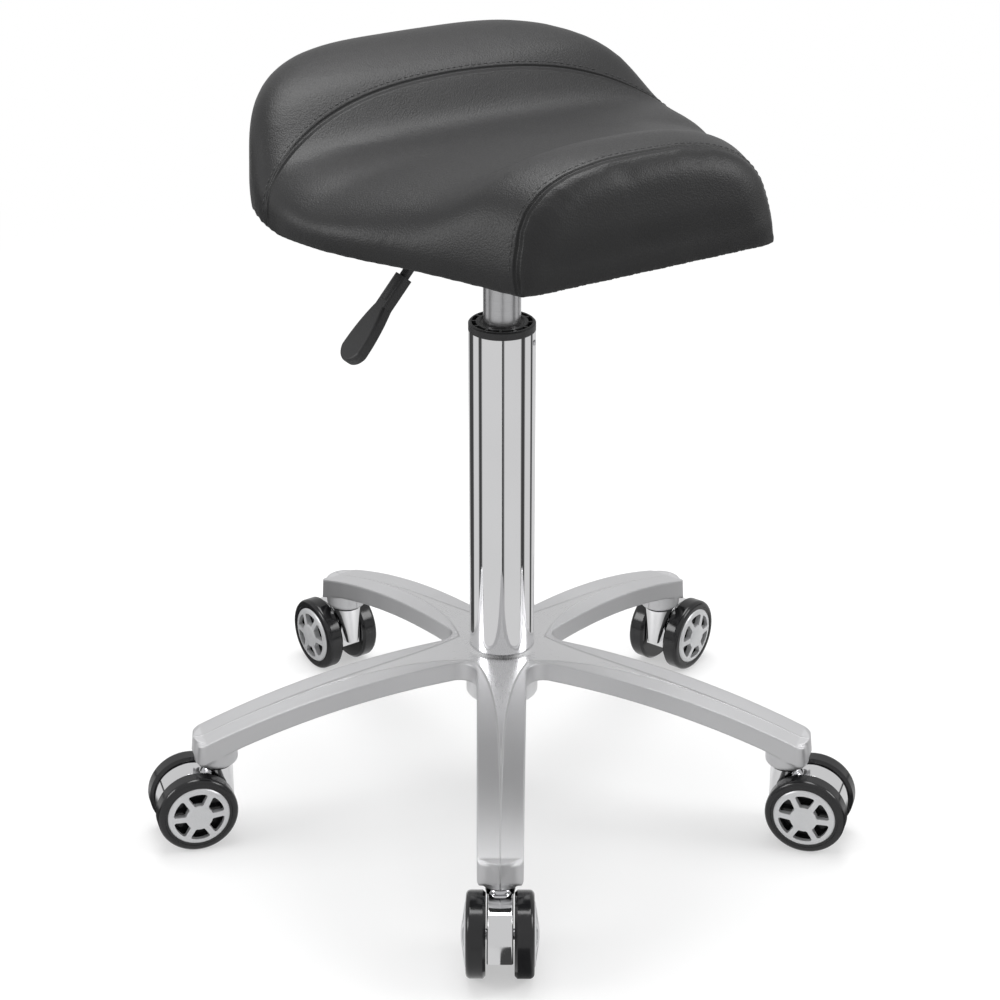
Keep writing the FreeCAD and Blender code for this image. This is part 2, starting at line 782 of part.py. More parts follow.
def build_bush():
    """Black guide bush: a slotted collar on the tube's rim and a long sleeve inside it."""
    body = new_body("guide_bush_body")
    outer = tube_radius - tube_wall - press_gap
    bore = lift_radius + running_gap
    section = outline(sketch(body, "bush_section", "XZ_Plane"), [
        (bore, tube_top - bush_length),
        (outer, tube_top - bush_length),
        (outer, tube_top),
        (tube_radius, tube_top),
        (tube_radius, tube_top + collar_height - 1.0),
        (tube_radius - 1.0, tube_top + collar_height),
        (bore + 3.2, tube_top + collar_height),
        (bore + 2.2, tube_top + collar_height - 1.0),
        (bore, tube_top + collar_height - 1.0),
    ])
    spun(body, "Revolution", "bush_sleeve", section)
    half = 180.0 / slot_count

    def corner(radius, sign):
        across = radius * sine(half) - slot_rib / 2 * cosine(half)
        along = radius * cosine(half) + slot_rib / 2 * sine(half)
        return across * sign, along
    right = corner(slot_outer_radius, 1)
    low_left = corner(slot_inner_radius, -1)
    plan = outline(sketch(body, "slot_plan", "XY_Plane", tube_top + collar_height), [
        corner(slot_inner_radius, 1),
        (right[0], right[1], slot_outer_radius),
        corner(slot_outer_radius, -1),
        (low_left[0], low_left[1], -slot_inner_radius),
    ])
    slot = feature(body, "Pocket", "slot", plan, Length=slot_depth)
    round_pattern(body, "slots", [slot], slot_count)
    for index in range(2):
        hole = ring(sketch(body, "bush_pin_hole_%d" % index, "YZ_Plane", 20.0 - 40.0 * index),
                    pin_radius - 0.6 + press_gap, 0.0, tube_top - pin_drop)
        feature(body, "Pocket", "bush_pin_bore_%d" % index, hole, Length=10.0, Reversed=index == 0)
    put(body, turn=pin_turn)
    return node(body, "guide_bush")


def build_pins():
    """Two pressed pins that keep the bush in the tube: a shank in the bush and a low round head."""
    head_from = tube_radius - tube_wall - press_gap
    shank = cylinder("pin_shank", pin_radius - 0.6, head_from - 20.5)
    head = cylinder("pin_head", pin_radius, tube_radius + 0.5 - head_from, z=head_from - 20.5)
    pin = fuse("pin", shank, head)
    doc.recompute()
    solids = []
    for turn in (0.0, 180.0):
        solid = pin.Shape.copy()
        solid.rotate(Vector(), Vector(0, 1, 0), 90)
        solid.translate(Vector(20.5, 0, float(tube_top - pin_drop)))
        solid.rotate(Vector(), UP, turn)
        solids.append(solid)
    group = doc.addObject("Part::Feature", "bush_pin_group")
    group.Shape = Part.makeCompound(solids)
    put(group, turn=pin_turn)
    return node(group, "bush_pins")


race_radius = taper_foot_radius - tube_wall - 1.2
race_height = 2.0
bearing_floor = tube_foot + tube_floor
ball_circle = rod_radius + 7.0
rod_hole = rod_radius + 0.5


def washer_ring(name, outer, inner, height, z):
    """A flat ring."""
    solid = cylinder(name + "_disc", outer, height, z=z)
    return cut(name, solid, cylinder(name + "_hole", inner, height + 1.0, z=z - 0.5))


def build_bearing():
    """Thrust bearing on the tube's floor: two races, a cage and its balls."""
    node(washer_ring("lower_race", race_radius, rod_hole + 0.5, race_height, bearing_floor), "bearing_lower_race")
    ball_level = bearing_floor + race_height + bearing_ball
    ball = bind(doc.addObject("Part::Sphere", "ball"), Radius=bearing_ball)
    put(ball, y=-ball_circle, z=ball_level)
    cage_ring = washer_ring("cage_ring", ball_circle + 3.5, rod_hole + 1.5, 1.2, ball_level - 0.6)
    doc.recompute()
    turns = around(ball_count)
    node(copies("ball_group", ball, turns), "bearing_balls")
    pocket = cylinder("cage_pocket", bearing_ball + cage_gap, 4.0, y=-ball_circle, z=ball_level - 2.0)
    doc.recompute()
    pockets = copies("cage_pockets", pocket, turns)
    node(cut("cage", cage_ring, pockets), "bearing_cage")
    return ball_level + bearing_ball


def build_piston(bearing_top):
    """What turns with the seat but doesn't rise: the rod, its head and ring, a bumper, and the clip below."""
    node(washer_ring("upper_race", race_radius, rod_radius + running_gap, race_height, bearing_top),
         "bearing_upper_race")
    bumper_base = bearing_top + race_height
    buffer = cone("buffer_cone", rod_radius + 9.0, rod_radius + 6.0, 9.0, z=bumper_base)
    node(cut("buffer", buffer, cylinder("buffer_hole", rod_radius + press_gap, 10.0, z=bumper_base - 0.5)),
         "rubber_buffer")
    foot = tube_foot - 6.0
    clip_z = tube_foot - 3.6
    washer_z = tube_foot - 2.2
    shaft = cylinder("rod_shaft", rod_radius, piston_level - foot, z=foot)
    groove = washer_ring("rod_groove", rod_radius + 1.0, rod_radius - 0.9, 1.3, clip_z - 0.05)
    node(cut("rod", shaft, groove), "piston_rod")
    node(washer_ring("rod_washer_ring", rod_radius + 7.0, rod_radius + press_gap, 1.8, washer_z), "rod_washer")
    clip = washer_ring("clip_ring", rod_radius + 3.0, rod_radius - 0.9 + press_gap, 1.2, clip_z)
    node(cut("clip", clip, block("clip_mouth", 12.0, 6.0, 3.0, x=rod_radius + 4.0, z=clip_z - 1.0)), "rod_clip")
    bore = lift_radius - lift_wall
    head = cylinder("head_disc", bore - running_gap, piston_height, z=piston_level)
    seal_z = piston_level + piston_height / 2 - 1.5
    seal_groove = washer_ring("seal_groove", bore + 1.0, bore - 2.4, 3.0, seal_z)
    node(cut("head", head, seal_groove), "piston_head")
    node(washer_ring("seal", bore - running_gap, bore - 2.4 + press_gap, 2.6, seal_z + 0.2), "piston_seal")


def build_lift():
    """Inner cylinder with a tapered top that wedges into the seat mechanism, and the gland at its foot."""
    body = new_body("gas_cylinder_body")
    bore = lift_radius - lift_wall
    gland_height = 14.0
    section = outline(sketch(body, "lift_section", "XZ_Plane"), [
        (bore, lift_bottom),
        (lift_radius - 0.6, lift_bottom),
        (lift_radius, lift_bottom + 0.8),
        (lift_radius, lift_top - taper_length),
        (taper_tip_radius, lift_top - 1.0),
        (taper_tip_radius - 1.0, lift_top),
        (valve_radius + running_gap, lift_top),
        (valve_radius + running_gap, lift_top - 30.0),
        (bore - 2.0, lift_top - 30.0),
        (bore, lift_top - 34.0),
    ])
    spun(body, "Revolution", "lift_wall_solid", section)
    node(body, "gas_cylinder")
    gland = cylinder("gland_disc", bore - press_gap, gland_height, z=lift_bottom + 1.0)
    node(cut("gland", gland, cylinder("gland_hole", rod_radius + running_gap, gland_height + 1.0,
                                      z=lift_bottom + 0.5)), "cylinder_gland")
    shaft = cylinder("valve_shaft", valve_radius, valve_height + 24.0, z=lift_top - 24.0)
    tip = bind(doc.addObject("Part::Chamfer", "valve_pin"), Base=shaft)
    doc.recompute()
    tip.Edges = [(i + 1, 2.0, 2.0) for i, edge in enumerate(shaft.Shape.Edges)
                 if edge.Closed and abs(edge.BoundBox.ZMin - float(lift_top + valve_height)) < 0.01]
    node(tip, "valve_button")


# The seat mechanism and its lever

plate_top = board_bottom - cover_cloth
plate_bottom = plate_top - plate_thickness
channel_floor = plate_bottom - channel_depth
lever_level = lift_top + valve_height + lever_rod_radius + 0.05
slope_sine = sine(lever_slope)
slope_cosine = cosine(lever_slope)


def lift_outside(height):
    """Radius of the lift's tapered top at a height."""
    share = (height - (lift_top - taper_length)) / (taper_length - 1.0)
    return lift_radius - (lift_radius - taper_tip_radius) * share


def build_mechanism():
    """Pressed steel plate with a channel under it and a tapered socket that takes the gas lift."""
    body = new_body("seat_mechanism_body")
    half = plate_side / 2
    plan = outline(sketch(body, "plate_plan", "XY_Plane", plate_bottom), [
        (-half, -half), (half, -half), (half, half), (-half, half)])
    plate = feature(body, "Pad", "plate", plan, Length=plate_thickness)
    fillet(body, "plate_corners", plate, 14.0, lambda edge: edge.BoundBox.ZLength > 1.0)
    wide = channel_width / 2
    long = channel_length / 2
    tray = outline(sketch(body, "channel_plan", "XY_Plane", plate_bottom), [
        (-wide, -long), (wide, -long), (wide, long), (-wide, long)])
    channel = feature(body, "Pad", "channel", tray, Length=channel_depth, Reversed=True)

    def channel_edge(edge):
        return edge.BoundBox.ZLength > 10.0
    fillet(body, "channel_corners", channel, 6.0, channel_edge)
    wide = wide - plate_thickness
    long = long - plate_thickness
    hollow = outline(sketch(body, "channel_hollow_plan", "XY_Plane", channel_floor + plate_thickness), [
        (-wide, -long), (wide, -long), (wide, long), (-wide, long)])
    feature(body, "Pocket", "channel_hollow", hollow, Length=channel_depth + plate_thickness, Reversed=True)
    socket_foot = channel_floor - socket_drop
    socket = ring(sketch(body, "socket_plan_ring", "XY_Plane", socket_foot), lift_radius + socket_wall)
    feature(body, "Pad", "socket_tube", socket, Length=socket_drop + 8.0)
    low = socket_foot - 1.0
    high = channel_floor + 9.0
    taper = outline(sketch(body, "socket_taper", "XZ_Plane"), [
        (0.0, low),
        (lift_outside(low) + press_gap, low),
        (lift_outside(high) + press_gap, high),
        (0.0, high),
    ])
    spun(body, "Groove", "socket_bore", taper)
    ear_in = lever_rod_radius + free_gap * 2
    ear_top = lever_level + 3.6
    for index, sign in enumerate((1, -1)):
        at = -lever_pivot_at
        ear = outline(sketch(body, "ear_side_%d" % index, "XZ_Plane", ear_in * sign + (0.0 if sign > 0 else -2.5)), [
            (at + 4.5, channel_floor + 1.0),
            (at + 4.5, ear_top),
            (at - 1.0, ear_top),
            (at - 1.0, channel_floor + 1.0),
        ])
        feature(body, "Pad", "ear_%d" % index, ear, Length=2.5)
    pin_hole = ring(sketch(body, "ear_hole_plan", "XZ_Plane"), lever_pin_radius + press_gap, -lever_pivot_at,
                    lever_level)
    both_ways(body, "Pocket", "ear_holes", pin_hole, ear_in * 2 + 12.0)
    window = outline(sketch(body, "lever_window_plan", "YZ_Plane", -(channel_width / 2 + 5.0)), [
        (-(lever_rod_radius + 2.0), lever_level - lever_rod_radius - 3.0),
        (lever_rod_radius + 2.0, lever_level - lever_rod_radius - 3.0),
        (lever_rod_radius + 2.0, lever_level + lever_rod_radius + 2.5),
        (-(lever_rod_radius + 2.0), lever_level + lever_rod_radius + 2.5),
    ])
    feature(body, "Pocket", "lever_window", window, Length=14.0, Reversed=True)
    bolt = ring(sketch(body, "bolt_plan", "XY_Plane", plate_bottom - 1.0), bolt_radius + 0.3,
                bolt_spacing / 2, bolt_spacing / 2)
    hole = feature(body, "Pocket", "bolt_hole", bolt, Length=plate_thickness + 2.0, Reversed=True)
    round_pattern(body, "bolt_holes", [hole], 4)
    put(body, turn=seat_turn)
    return node(body, "seat_mechanism")


def build_lever():
    """Bent steel rod on a pin, its inner end over the valve, and the moulded paddle on its outer end."""
    body = new_body("lever_rod_body")
    start = ring(sketch(body, "rod_start", "YZ_Plane", 5.0), lever_rod_radius, 0.0, lever_level)
    bend_x = -lever_bend_at - lever_bend_radius * slope_sine
    bend_z = lever_level - lever_bend_radius * (1.0 - slope_cosine)
    end_x = bend_x - lever_reach * slope_cosine
    end_z = bend_z - lever_reach * slope_sine
    path = sketch(body, "rod_path", "XZ_Plane")
    straight = path.addGeometry(Part.LineSegment(Vector(5, float(lever_level), 0),
                                                 Vector(-float(lever_bend_at), float(lever_level), 0)), False)
    centre = Vector(-float(lever_bend_at), float(lever_level - lever_bend_radius), 0)
    quarter = math.pi / 2
    bend = path.addGeometry(Part.ArcOfCircle(Part.Circle(centre, UP, float(lever_bend_radius)), quarter,
                                             quarter + math.radians(float(lever_slope))), False)
    outer = path.addGeometry(Part.LineSegment(Vector(float(bend_x), float(bend_z), 0),
                                              Vector(float(end_x), float(end_z), 0)), False)
    path.addConstraint(Sketcher.Constraint("Coincident", straight, 2, bend, 1))
    path.addConstraint(Sketcher.Constraint("Coincident", bend, 2, outer, 1))
    hold_point(path, straight, 1, 5.0, lever_level)
    hold_point(path, straight, 2, -lever_bend_at, lever_level)
    hold_point(path, outer, 1, bend_x, bend_z)
    hold_point(path, outer, 2, end_x, end_z)
    hold(path, "Radius", bend, lever_bend_radius)
    pipe = body.newObject("PartDesign::AdditivePipe", "rod_sweep")
    pipe.Profile = start
    pipe.Spine = (path, [])
    pipe.Mode = "Frenet"
    hole = ring(sketch(body, "rod_pin_plan", "XZ_Plane"), lever_pin_radius + running_gap, -lever_pivot_at, lever_level)
    both_ways(body, "Pocket", "rod_pin_hole", hole, lever_rod_radius * 4)
    put(body, turn=seat_turn)
    node(body, "lever_rod")

    ear_out = lever_rod_radius + free_gap * 2 + 2.5
    pin = cylinder("lever_pin_rod", lever_pin_radius, ear_out * 2 + 2.0)
    pin.Placement = Placement(Vector(), Rotation(UP, float(seat_turn))) * Placement(
        Vector(-float(lever_pivot_at), float(ear_out) + 1.0, float(lever_level)), Rotation(Vector(1, 0, 0), 90))
    node(pin, "lever_pin")

    handle = new_body("lever_handle_body")
    neck = handle_neck / 2
    wide = handle_width / 2
    flare = handle_length * 0.34
    full = handle_length - wide
    plan = outline(sketch(handle, "handle_plan", "XY_Plane", -handle_thickness / 2), [
        (0.0, -neck),
        (flare, -neck, 120.0),
        (full, -wide, wide * 1.05),
        (full, wide, 120.0),
        (flare, neck),
        (0.0, neck),
    ])
    paddle = feature(handle, "Pad", "paddle", plan, Length=handle_thickness)

    def rim(edge):
        point = middle(edge)
        return abs(abs(point.z) - float(handle_thickness) / 2) < 0.01 and point.x > 1.0
    fillet(handle, "paddle_edges", paddle, 2.4, rim)
    sleeve = ring(sketch(handle, "sleeve_plan", "YZ_Plane"), neck)
    feature(handle, "Pad", "sleeve", sleeve, Length=flare * 0.8)
    bore = ring(sketch(handle, "sleeve_bore_plan", "YZ_Plane"), lever_rod_radius + press_gap)
    feature(handle, "Pocket", "sleeve_bore", bore, Length=flare * 0.7, Reversed=True)
    grip = 16.0
    tail = Placement(Vector(float(end_x) + grip * float(slope_cosine), 0, float(end_z) + grip * float(slope_sine)),
                     Rotation(Vector(0, 1, 0), 180.0 - float(lever_slope)))
    handle.Placement = Placement(Vector(), Rotation(UP, float(seat_turn))) * tail
    return node(handle, "lever_handle")


# The padded seat

def seat_half(u):
    """Half the seat's width at a distance forward of the column."""
    centre = float(seat_rear_centre)
    radius = float(seat_half_width)
    lean = (radius - float(seat_front_half)) / (float(seat_front) - centre)
    turn = math.atan(lean)
    join = centre + radius * math.sin(turn) * 0.55
    round_part = math.sqrt(max(radius ** 2 - (u - centre) ** 2, 0.0))
    if u <= join:
        return round_part
    edge = math.sqrt(radius ** 2 - (join - centre) ** 2)
    share = (u - join) / (float(seat_front) - join)
    return edge + (float(seat_front_half) - edge) * share


def seat_section(u, tilt, half, crown, low=0.0):
    """One cross-section of the cushion: a flat foot, drawn-in sides and a crowned top."""
    base = float(board_bottom)
    side = float(seat_side_height) * crown / float(front_crest) + low
    foot = half - float(seat_draw_in)
    power = 2.0 / float(seat_roundness)

    def place(s, rise):
        return Vector(s, -(u - tilt * rise), base + rise)

    def curve(angle):
        a = math.radians(angle)
        return half * math.cos(a) ** power, side + (crown - side) * math.sin(a) ** power
    shoulder = curve(46.0)
    haunch = curve(20.0)
    left = [place(-foot, 0.0), place(-half + 0.8, side * 0.45), place(-half, side), place(-haunch[0], haunch[1]),
            place(-shoulder[0], shoulder[1])]
    right = [place(foot, 0.0), place(half - 0.8, side * 0.45), place(half, side), place(haunch[0], haunch[1]),
             place(shoulder[0], shoulder[1])]
    edges = [
        Part.makeLine(left[0], right[0]),
        Part.Arc(right[0], right[1], right[2]).toShape(),
        Part.Arc(right[2], right[3], right[4]).toShape(),
        Part.Arc(right[4], place(0.0, crown), left[4]).toShape(),
        Part.Arc(left[4], left[3], left[2]).toShape(),
        Part.Arc(left[2], left[1], left[0]).toShape(),
    ]
    return Part.Wire(edges)


def build_seat():
    crest = float(cantle_crest)
    seam = float(rear_seam_height)
    dip = float(saddle_dip)
    front = float(front_crest)
    rear = float(seat_rear_centre - seat_half_width)
    end = float(seat_front)
    stations = [
        (rear + 1.5, 0.0, 34.0),
        (rear + 9.0, 0.0, 58.0),
        (rear + 26.0, 0.0, crest - 4.0),
        (rear + 50.0, 0.0, crest),
        (rear + 80.0, 0.0, seam),
        (-50.0, 0.0, dip + 4.0),
        (5.0, 0.0, dip),
        (60.0, 0.1, dip + 5.0),
        (110.0, 0.2, front - 5.0),
        (end - 26.0, 0.3, front),
        (end - 12.0, 0.36, front - 5.0),
        (end - 1.0, 0.42, front - 14.0),
    ]
    sections = [seat_section(u, tilt, seat_half(u), crown) for u, tilt, crown in stations]
    u, tilt, crown = stations[-1]
    sections.append(seat_section(u + 8.0, tilt, seat_half(u) - 14.0, crown - 12.0))
    cushion = Part.makeLoft(sections, True, False)
    inset = float(board_inset)
    board_height = float(board_thickness)
    front_u = end - inset

    def plan_point(u, sign):
        return Vector(sign * max(seat_half(u) - inset, 0.0), -u, float(board_bottom))
    front_left = plan_point(front_u, 1)
    front_right = plan_point(front_u, -1)
    wide_left = plan_point(float(seat_rear_centre), 1)
    wide_right = plan_point(float(seat_rear_centre), -1)
    rear_point = Vector(0, -(rear + inset), float(board_bottom))
    quarter = math.sqrt(0.5) * (float(seat_half_width) - inset)
    bend_left = Vector(quarter, -(float(seat_rear_centre) - quarter), float(board_bottom))
    bend_right = Vector(-quarter, -(float(seat_rear_centre) - quarter), float(board_bottom))
    plan = Part.Wire([
        Part.makeLine(front_right, front_left),
        Part.makeLine(front_left, wide_left),
        Part.Arc(wide_left, bend_left, rear_point).toShape(),
        Part.Arc(rear_point, bend_right, wide_right).toShape(),
        Part.makeLine(wide_right, front_right),
    ])
    board_blank = Part.Face(plan).extrude(Vector(0, 0, board_height))
    cushion = cushion.cut(board_blank)
    turned = Placement(Vector(), Rotation(UP, float(seat_turn)))
    pad = doc.addObject("Part::Feature", "cushion_shape")
    pad.Shape = cushion
    put(pad, turn=seat_turn)
    node(pad, "seat_cushion")
    board = doc.addObject("Part::Feature", "board_blank")
    board.Shape = board_blank
    put(board, turn=seat_turn)
    nut_spots = [(sx * float(bolt_spacing) / 2, sy * float(bolt_spacing) / 2) for sx in (1, -1) for sy in (1, -1)]
    nuts = []
    bolts = []
    base = float(board_bottom)
    shank = float(bolt_radius)
    holes = []
    for x, y in nut_spots:
        holes.append(Part.makeCylinder(shank + 1.3, board_height + 2, Vector(x, y, base - 1)))
        barrel = Part.makeCylinder(shank + 1.2, board_height - 2.0, Vector(x, y, base + 2.0))
        flange = Part.makeCylinder(shank + 5.0, 1.2, Vector(x, y, base + board_height - 1.2))
        holes.append(Part.makeCylinder(shank + 5.1, 1.3, Vector(x, y, base + board_height - 1.3)))
        nut = barrel.fuse(flange).cut(Part.makeCylinder(shank + 0.1, board_height + 2, Vector(x, y, base)))
        nuts.append(nut)
        foot = float(plate_bottom)
        stem = Part.makeCylinder(shank, base + board_height - 3.0 - foot, Vector(x, y, foot))
        head = Part.makeCylinder(shank * 1.75, shank * 1.1, Vector(x, y, foot - shank * 1.1))
        hexagon = Part.makePolygon([Vector(x + 2.6 * math.cos(math.radians(60 * i)),
                                           y + 2.6 * math.sin(math.radians(60 * i)), foot - shank * 1.1)
                                    for i in range(7)])
        bolts.append(stem.fuse(head).cut(Part.Face(Part.Wire(hexagon)).extrude(Vector(0, 0, 2.0))))
    plywood = doc.addObject("Part::Feature", "board_shape")
    plywood.Shape = board_blank.cut(Part.makeCompound(holes))
    put(plywood, turn=seat_turn)
    node(plywood, "seat_board")
    cloth = doc.addObject("Part::Feature", "cloth_shape")
    sheet_solid = Part.Face(plan).extrude(Vector(0, 0, -float(cover_cloth)))
    cloth.Shape = sheet_solid.cut(Part.makeCompound(
        [Part.makeCylinder(shank + 0.4, 6.0, Vector(x, y, base - 3.0)) for x, y in nut_spots]
        + [Part.makeBox(float(channel_width) - 2, float(channel_length) - 2, 6.0,
                        Vector(1 - float(channel_width) / 2, 1 - float(channel_length) / 2, base - 3.0))]))
    put(cloth, turn=seat_turn)
    node(cloth, "dust_cover")
    for name, solids in (("plate_bolts", bolts), ("tee_nuts", nuts)):
        group = doc.addObject("Part::Feature", name + "_group")
        group.Shape = Part.makeCompound(solids)
        put(group, turn=seat_turn)
        node(group, name)


build_base()
build_stems()
for number, turn in enumerate(around(arm_count)):
    build_caster(number + 1, turn)
build_tube()
build_bush()
build_pins()
build_piston(build_bearing())
build_lift()
build_mechanism()
build_lever()
build_seat()

doc.recompute()
faults = [thing.Name for thing in doc.Objects if "Invalid" in thing.State or "Error" in thing.State]
faults += [thing.Label for thing in nodes if thing.Shape.isNull() or not thing.Shape.isValid()]
if faults:
    for name in faults:
        thing = doc.getObject(name)
        print(name, thing.getStatusString() if thing else "")
    raise SystemExit("not sound: " + ", ".join(faults))
os.makedirs("parts", exist_ok=True)
for thing in nodes:
    thing.Shape.exportStep("parts/%s.step" % thing.Label)
print("%d sub-parts" % len(nodes))
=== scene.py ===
import math

import bmesh
import bpy
from mathutils import Matrix, Vector
from mathutils.bvhtree import BVHTree


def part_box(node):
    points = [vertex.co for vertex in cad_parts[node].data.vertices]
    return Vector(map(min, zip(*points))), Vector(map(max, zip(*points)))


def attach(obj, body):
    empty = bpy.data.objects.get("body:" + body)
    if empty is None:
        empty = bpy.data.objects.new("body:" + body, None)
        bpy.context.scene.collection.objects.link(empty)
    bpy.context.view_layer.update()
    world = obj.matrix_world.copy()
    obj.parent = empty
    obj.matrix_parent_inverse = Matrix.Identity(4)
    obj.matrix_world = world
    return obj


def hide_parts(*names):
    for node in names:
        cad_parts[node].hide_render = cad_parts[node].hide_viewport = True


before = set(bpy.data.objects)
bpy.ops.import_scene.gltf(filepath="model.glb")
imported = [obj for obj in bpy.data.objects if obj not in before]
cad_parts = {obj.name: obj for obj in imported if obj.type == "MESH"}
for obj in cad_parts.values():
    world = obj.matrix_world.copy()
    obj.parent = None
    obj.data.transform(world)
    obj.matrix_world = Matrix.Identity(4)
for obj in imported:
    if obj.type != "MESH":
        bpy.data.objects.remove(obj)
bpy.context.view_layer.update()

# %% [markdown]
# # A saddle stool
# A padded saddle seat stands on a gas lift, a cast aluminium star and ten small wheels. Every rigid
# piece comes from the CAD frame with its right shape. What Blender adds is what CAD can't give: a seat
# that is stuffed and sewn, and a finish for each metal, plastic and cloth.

mm = 0.001
scene = bpy.context.scene

# %% [markdown]
# ## The camera
# A product photographer stands back and uses a long lens, so that the seat doesn't look too large
# against the base. The place and the slope were worked out from the five caster necks, which stand at
# known distances from the column.

# %% The camera
picture_size = 1000
lens_data = bpy.data.cameras.new("camera")
lens_data.sensor_width = 36.0
lens_data.lens = 86.04
camera = bpy.data.objects.new("camera", lens_data)
camera.location = (0.0076, -1.638, 1.0305)
camera.rotation_euler = (math.radians(90 - 25.46), 0.0, math.radians(0.319))
scene.collection.objects.link(camera)
scene.camera = camera
scene.render.resolution_x = picture_size
scene.render.resolution_y = picture_size
scene.view_settings.view_transform = "Standard"
print("camera", tuple(camera.location), "lens", lens_data.lens)

# %% [markdown]
# ## Writing a finish as a sum
# A finish is a tree of nodes, and long trees are hard to read as lists of links. A small class that
# stands for one output socket lets the patterns be written as ordinary sums, such as grain * 0.2 + 0.4.

# %% One socket, with the usual operators
class Wire:
    """One output socket in a finish's node tree."""

    def __init__(self, tree, socket=None):
        self.tree = tree
        self.socket = socket

    def node(self, kind, output=0, inputs=None, **settings):
        """Add a node to the same tree, feed it and return one of its outputs."""
        made = self.tree.nodes.new(kind)
        for name, value in settings.items():
            setattr(made, name, value)
        for name, value in (inputs or {}).items():
            if isinstance(value, Wire):
                self.tree.links.new(value.socket, made.inputs[name])
            else:
                made.inputs[name].default_value = value
        return Wire(self.tree, made.outputs[output])

    def work(self, operation, other, swap=False):
        """One step of arithmetic with this value and another, or with this value alone."""
        pair = {0: other, 1: self} if swap else {0: self, 1: other}
        return self.node("ShaderNodeMath", inputs=pair, operation=operation)

    def __add__(self, other):
        return self.work("ADD", other)

    def __sub__(self, other):
        return self.work("SUBTRACT", other)

    def __rsub__(self, other):
        return self.work("SUBTRACT", other, swap=True)

    def __mul__(self, other):
        return self.work("MULTIPLY", other)

    def step(self, low, high, start=0.0, end=1.0):
        """A smooth step from start to end as the value goes from low to high."""
        return self.node("ShaderNodeMapRange", interpolation_type="SMOOTHSTEP", inputs={
            "Value": self, "From Min": low, "From Max": high, "To Min": start, "To Max": end})

    def noise(self, scale, detail=2.0, roughness=0.5):
        """Cloudy noise at this position, from 0 to 1; scale is in cells to the metre."""
        return self.node("ShaderNodeTexNoise", inputs={
            "Vector": self, "Scale": scale, "Detail": detail, "Roughness": roughness})

    def cells(self, scale, feature="F1", output="Distance"):
        """Pebble-like cells at this position; scale is in cells to the metre."""
        return self.node("ShaderNodeTexVoronoi", output, {"Vector": self, "Scale": scale}, feature=feature)

    def part(self, axis):
        """One coordinate of this position."""
        return self.node("ShaderNodeSeparateXYZ", axis, {"Vector": self})

    def stretch(self, x, y, z):
        """This position with its axes scaled, so that a pattern is drawn out along one of them."""
        return self.node("ShaderNodeMapping", inputs={"Vector": self, "Scale": (x, y, z)})

    def mix(self, low, high):
        """A colour between low and high, by this value."""
        made = self.node("ShaderNodeMix", 2, data_type="RGBA")
        self.tree.links.new(self.socket, made.socket.node.inputs[0])
        made.socket.node.inputs[6].default_value = (*low, 1.0)
        made.socket.node.inputs[7].default_value = (*high, 1.0)
        return made


print("sums make nodes")

# %% [markdown]
# ## One way to make every finish
# Each finish has a Principled shader. What is the same all over is set on the shader's own sockets.
# What varies is wired in: colour, roughness and the small bumps.

# %% A finish and its shader
class Finish:
    """A material with one Principled shader, and the place on the piece to draw patterns from."""

    def __init__(self, name, **constants):
        self.material = bpy.data.materials.new(name)
        self.material.use_nodes = True
        tree = self.material.node_tree
        self.shader = tree.nodes["Principled BSDF"]
        self.place = Wire(tree).node("ShaderNodeTexCoord", "Object")
        for name, value in constants.items():
            self.shader.inputs[name.replace("_", " ")].default_value = value

    def wear(self, socket, wire):
        """Wire a varying value into one of the shader's sockets."""
        self.shader.id_data.links.new(wire.socket, self.shader.inputs[socket])
        return self

    def bump(self, height, depth, strength=1.0):
        """Raise the surface by height times depth, in metres."""
        return self.wear("Normal", height.node("ShaderNodeBump", inputs={
            "Height": height, "Distance": depth, "Strength": strength}))


def dress(finish, *names):
    """Give the finish to these CAD nodes."""
    for name in names:
        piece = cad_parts[name]
        piece.data.materials.clear()
        piece.data.materials.append(finish.material)


def named(text):
    """The CAD nodes with this text in their names."""
    return [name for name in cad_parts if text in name]


print("wheels", len(named("_wheel_")))

# %% [markdown]
# ## Cast aluminium, ground and polished
# The star is cast, then ground to a satin with fine scratches along its arms. Its edges and a long
# spout that runs out from the hub down each arm are buffed bright. The spout is partly real polish,
# with less roughness and a raised bump, and partly a painted highlight: its colour is painted lighter
# along the crest of each arm. The spout is written from the place on the star: every point is turned
# back to the front arm, and the spout is where its distance from the arm's middle is less than a width
# that fades out from the hub. A bevel node rounds the light on the arms' edges, where the casting is
# ground by hand.

# %% Satin aluminium
arm_angle = math.radians(72.0)
spout_start = 27 * mm
spout_half = 22 * mm
spout_fade = 45 * mm
satin = Finish("satin_aluminium", Metallic=1.0)
right = satin.place.part("X")
front = satin.place.part("Y") * -1.0
from_column = (right * right + front * front).work("SQRT", 0.0)
bearing = right.work("ARCTAN2", front)
off = (bearing + arm_angle * 5.5).work("MODULO", arm_angle) - arm_angle / 2
across = from_column * off.work("SINE", 0.0)
along = from_column * off.work("COSINE", 0.0)
width = ((along - spout_start) * (-1.0 / spout_fade)).work("EXPONENT", 0.0) * spout_half
beside = across.work("ABSOLUTE", 0.0) - width
spout_and_painted_highlight = beside.step(-1.6 * mm, 0.6 * mm, 1.0, 0.0)
clouds = satin.place.noise(11.0, 2.0)
lines = along.node("ShaderNodeCombineXYZ", inputs={"X": across * 1500.0, "Y": along * 90.0})
scratches = lines.noise(1.0, 3.0)
